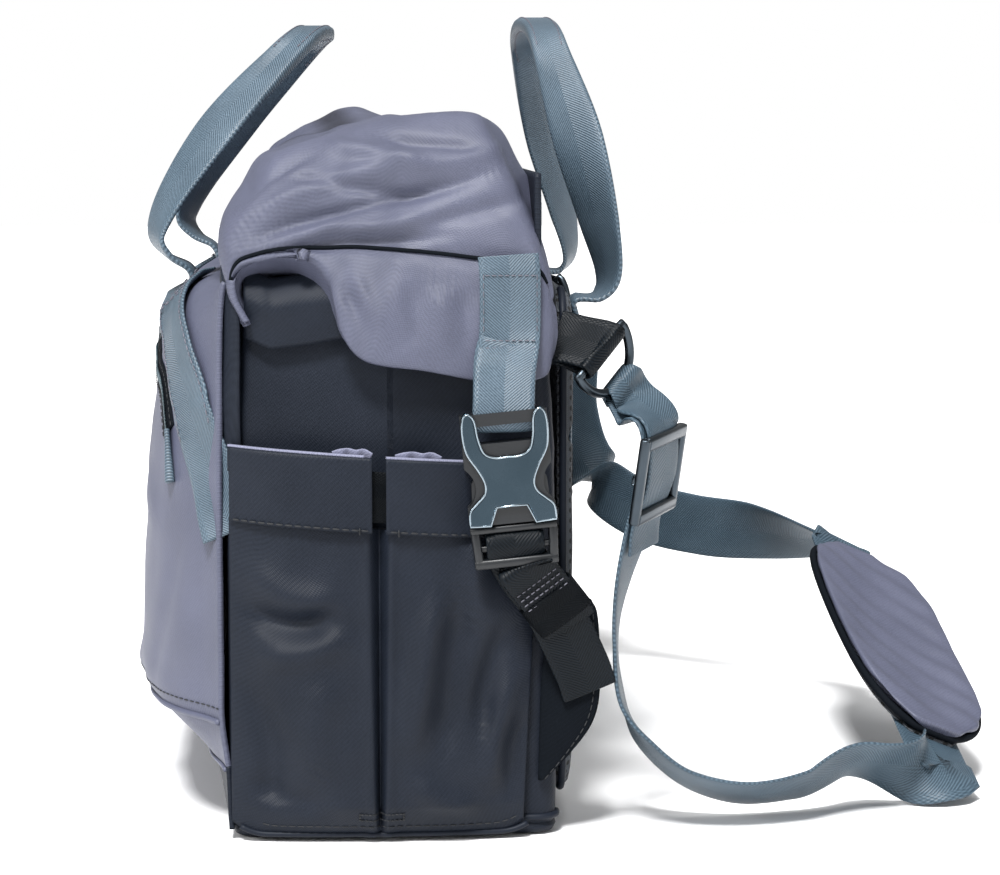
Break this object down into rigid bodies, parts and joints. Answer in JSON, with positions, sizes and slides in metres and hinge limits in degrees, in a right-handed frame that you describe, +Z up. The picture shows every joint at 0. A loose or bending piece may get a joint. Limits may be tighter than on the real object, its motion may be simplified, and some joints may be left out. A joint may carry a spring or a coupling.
{
  "type": "roll-top shoulder bag",
  "caption": "Soft roll-top shoulder or tail bag with side-release closure straps, side and front pockets, two carry handles and a padded shoulder strap.",
  "frame": {"origin": "centre of the underside of the base panel", "axes": "+X along the bag's length to the end with the strap's ladder slider, +Y from the front pocket to the padded back, +Z up"},
  "size_m": [0.3864, 0.3509, 0.3115],
  "materials": {
    "slate_fabric": "matte",
    "charcoal_fabric": "matte",
    "blue_webbing": "satin",
    "black_webbing": "satin",
    "air_mesh": "matte",
    "elastic": "matte",
    "stiffener_board": "matte",
    "black_plastic": "satin",
    "gunmetal": "satin",
    "zip_coil": "satin",
    "zip_metal": "satin"
  },
  "bodies": {
    "bag": {"anchor_wing_left": "charcoal_fabric", "anchor_wing_right": "charcoal_fabric", "back_collar": "charcoal_fabric", "back_handle_anchors": "blue_webbing", "back_mesh": "air_mesh", "back_panel": "charcoal_fabric", "back_zip": "zip_coil", "base_board": "stiffener_board", "base_panel": "charcoal_fabric", "buckle_male_left": "black_plastic", "buckle_male_right": "black_plastic", "collar_gusset_left": "charcoal_fabric", "collar_gusset_right": "charcoal_fabric", "front_handle_anchors": "blue_webbing", "front_panel": "charcoal_fabric", "front_pocket": "slate_fabric", "front_pocket_underside": "charcoal_fabric", "front_zip": "zip_coil", "front_zip_tabs": "blue_webbing", "lower_strap_left": "black_webbing", "lower_strap_right": "black_webbing", "pocket_elastic_left": "elastic", "pocket_elastic_right": "elastic", "pocket_hem_left": "charcoal_fabric", "pocket_hem_right": "charcoal_fabric", "side_panel_left": "charcoal_fabric", "side_panel_right": "charcoal_fabric", "side_pocket_left": "charcoal_fabric", "side_pocket_right": "charcoal_fabric", "strap_keeper_left": "elastic", "strap_keeper_right": "elastic"},
    "flap": {"roll_top": "slate_fabric", "roll_stiffener": "stiffener_board"},
    "closure_right": {"upper_strap_right": "blue_webbing", "buckle_female_right": "black_plastic", "buckle_plate_right": "gunmetal"},
    "closure_left": {"upper_strap_left": "blue_webbing", "buckle_female_left": "black_plastic", "buckle_plate_left": "gunmetal"},
    "prong_front_right": {"buckle_prong_front_right": "black_plastic"},
    "prong_back_right": {"buckle_prong_back_right": "black_plastic"},
    "prong_front_left": {"buckle_prong_front_left": "black_plastic"},
    "prong_back_left": {"buckle_prong_back_left": "black_plastic"},
    "front_carry": {"front_handle": "blue_webbing"},
    "back_carry": {"back_handle": "blue_webbing"},
    "front_slider": {"front_zip_slider": "zip_metal"},
    "front_pull": {"front_zip_pull": "zip_metal"},
    "back_slider": {"back_zip_slider": "zip_metal"},
    "back_pull": {"back_zip_pull": "zip_metal"},
    "shoulder_strap": {"strap_tab_right": "black_webbing", "strap_tab_left": "black_webbing", "d_ring_right": "gunmetal", "d_ring_left": "gunmetal", "shoulder_webbing": "blue_webbing", "strap_slider": "gunmetal"},
    "pad": {"pad_cover": "slate_fabric", "pad_mesh": "air_mesh"}
  },
  "joints": [
    {"name": "flap_hinge", "type": "hinge", "parent": "bag", "child": "flap", "pos_m": [0, -0.064, 0.219], "axis": [1, 0, 0], "range_deg": [0, 95]},
    {"name": "strap_hang_right", "type": "hinge", "parent": "flap", "child": "closure_right", "pos_m": [0.1785, 0.043, 0.2173], "axis": [1, 0, 0], "range_deg": [-95, 0]},
    {"name": "strap_hang_left", "type": "hinge", "parent": "flap", "child": "closure_left", "pos_m": [-0.1785, 0.043, 0.2173], "axis": [1, 0, 0], "range_deg": [-95, 0]},
    {"name": "prong_front_right_flex", "type": "hinge", "parent": "bag", "child": "prong_front_right", "pos_m": [0.1879, 0.03365, 0.12159], "axis": [1, 0, 0], "range_deg": [-6, 0], "stiffness_Nm_per_rad": 0.02},
    {"name": "prong_back_right_flex", "type": "hinge", "parent": "bag", "child": "prong_back_right", "pos_m": [0.1879, 0.05356, 0.12351], "axis": [1, 0, 0], "range_deg": [0, 6], "stiffness_Nm_per_rad": 0.02},
    {"name": "prong_front_left_flex", "type": "hinge", "parent": "bag", "child": "prong_front_left", "pos_m": [-0.1879, 0.03365, 0.12159], "axis": [1, 0, 0], "range_deg": [-6, 0], "stiffness_Nm_per_rad": 0.02},
    {"name": "prong_back_left_flex", "type": "hinge", "parent": "bag", "child": "prong_back_left", "pos_m": [-0.1879, 0.05356, 0.12351], "axis": [1, 0, 0], "range_deg": [0, 6], "stiffness_Nm_per_rad": 0.02},
    {"name": "front_handle_swing", "type": "hinge", "parent": "bag", "child": "front_carry", "pos_m": [0, -0.079, 0.212], "axis": [1, 0, 0], "range_deg": [0, 74]},
    {"name": "back_handle_swing", "type": "hinge", "parent": "bag", "child": "back_carry", "pos_m": [0, 0.073, 0.199], "axis": [1, 0, 0], "range_deg": [-90, 6]},
    {"name": "front_zip_run", "type": "slide", "parent": "bag", "child": "front_slider", "axis": [1, 0, 0], "range_m": [-0.008, 0.128]},
    {"name": "front_pull_swing", "type": "hinge", "parent": "front_slider", "child": "front_pull", "pos_m": [-0.06, -0.0987, 0.1772], "axis": [1, 0, 0], "range_deg": [-95, 0]},
    {"name": "back_zip_run", "type": "slide", "parent": "bag", "child": "back_slider", "axis": [1, 0, 0], "range_m": [-0.126, 0.026]},
    {"name": "back_pull_swing", "type": "hinge", "parent": "back_slider", "child": "back_pull", "pos_m": [0.05, 0.0594, 0.2392], "axis": [1, 0, 0], "range_deg": [0, 95]},
    {"name": "shoulder_strap_lift", "type": "hinge", "parent": "bag", "child": "shoulder_strap", "pos_m": [0, 0.0708, 0.187], "axis": [1, 0, 0], "range_deg": [0, 80]},
    {"name": "pad_slide", "type": "slide", "parent": "shoulder_strap", "child": "pad", "axis": [-0.9358, -0.0678, 0.3459], "range_m": [-0.004, 0.004]}
  ],
  "couplings": [
    {"joint": "strap_hang_right", "follows": "flap_hinge", "ratio": -1},
    {"joint": "strap_hang_left", "follows": "flap_hinge", "ratio": -1},
    {"joint": "front_handle_swing", "follows": "flap_hinge", "ratio": 0.77},
    {"joint": "prong_back_right_flex", "follows": "prong_front_right_flex", "ratio": -1},
    {"joint": "prong_back_left_flex", "follows": "prong_front_left_flex", "ratio": -1}
  ]
}
